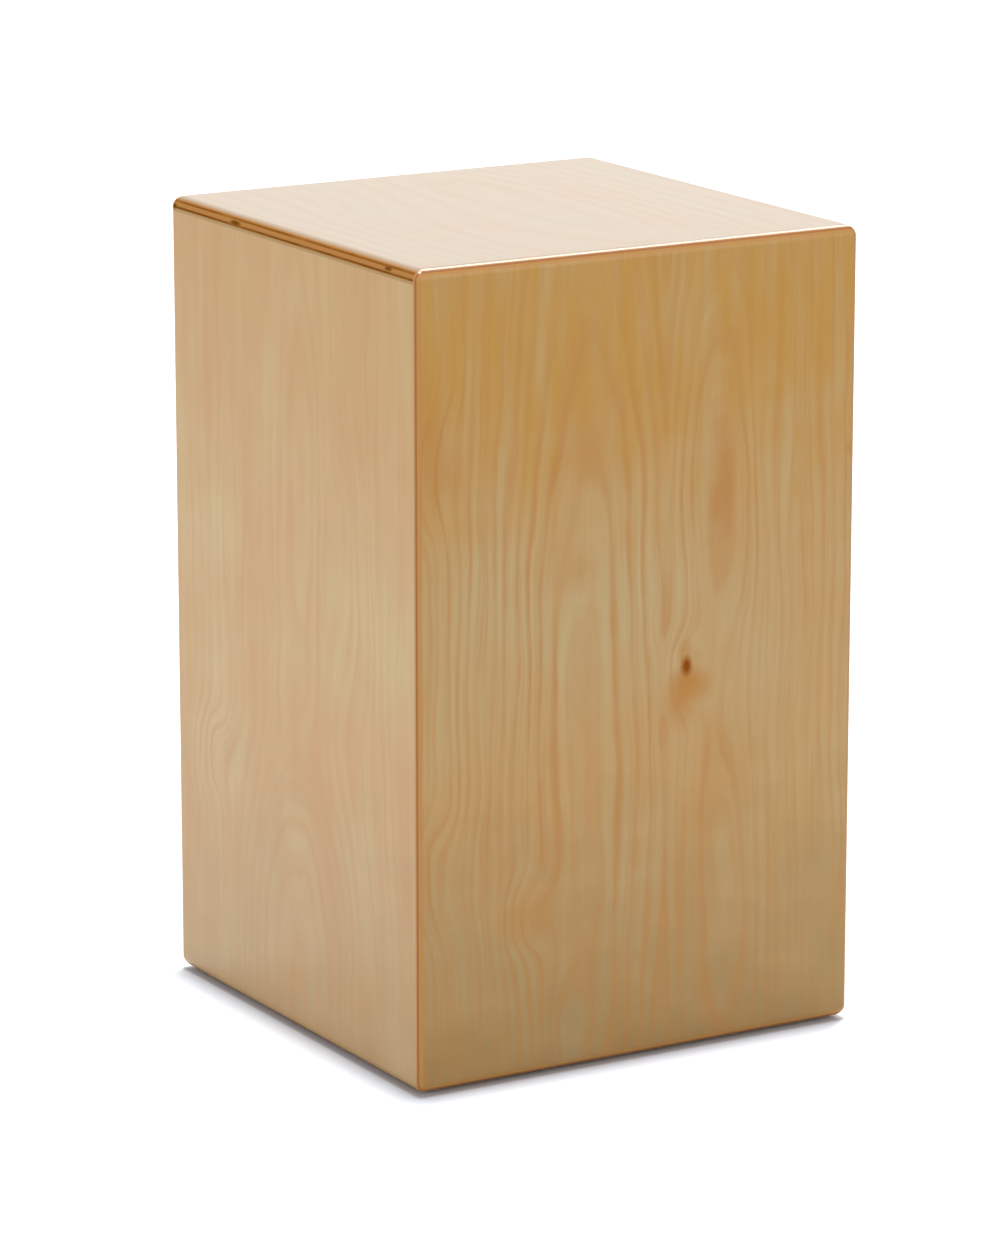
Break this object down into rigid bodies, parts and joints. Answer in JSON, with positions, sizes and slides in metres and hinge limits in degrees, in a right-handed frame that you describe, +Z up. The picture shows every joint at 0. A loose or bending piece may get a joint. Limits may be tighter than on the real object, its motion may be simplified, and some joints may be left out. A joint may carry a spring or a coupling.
{
  "type": "cajon",
  "caption": "Box drum of glued plywood with rounded edges, a thin playing face, a round rear sound hole and an inner snare bar that tilts off the face.",
  "frame": {"origin": "on the floor, under the middle of the box", "axes": "+X across the width, towards the right of someone who looks at the playing face; -Y towards the playing face and +Y towards the sound hole; +Z up, towards the seat"},
  "size_m": [0.3, 0.3, 0.49],
  "materials": {
    "birch_plywood": "satin clear lacquer over pale birch plywood",
    "playing_face_plywood": "satin clear lacquer over golden birch veneer with a plain-sawn figure",
    "batten_softwood": "planed and left bare",
    "foot_rubber": "matt",
    "peg_beech": "turned dowel, left bare",
    "bar_beech": "planed and oiled",
    "pin_steel": "ground",
    "washer_felt": "pressed wool felt",
    "plate_steel": "zinc plated",
    "strand_steel": "bright drawn wire",
    "screw_steel": "zinc plated"
  },
  "bodies": {
    "box": {"seat_panel": "birch_plywood", "base_panel": "birch_plywood", "left_side_panel": "birch_plywood", "right_side_panel": "birch_plywood", "back_panel": "birch_plywood", "front_plate": "playing_face_plywood", "front_left_post": "batten_softwood", "front_right_post": "batten_softwood", "back_left_post": "batten_softwood", "back_right_post": "batten_softwood", "front_top_rail": "batten_softwood", "front_bottom_rail": "batten_softwood", "back_top_rail": "batten_softwood", "back_bottom_rail": "batten_softwood", "front_left_foot": "foot_rubber", "front_right_foot": "foot_rubber", "back_left_foot": "foot_rubber", "back_right_foot": "foot_rubber", "left_stop_peg": "peg_beech", "right_stop_peg": "peg_beech"},
    "snare_unit": {"snare_bar": "bar_beech", "left_pivot_pin": "pin_steel", "right_pivot_pin": "pin_steel", "left_felt_washer": "washer_felt", "right_felt_washer": "washer_felt", "left_snare_plate": "plate_steel", "right_snare_plate": "plate_steel", "left_snare_strands": "strand_steel", "right_snare_strands": "strand_steel", "snare_plate_screws": "screw_steel"}
  },
  "joints": [
    {"name": "snare_bar_tilt", "type": "hinge", "parent": "box", "child": "snare_unit", "pos_m": [0, -0.1325, 0.32], "axis": [-1, 0, 0], "range_deg": [0, 30]}
  ]
}
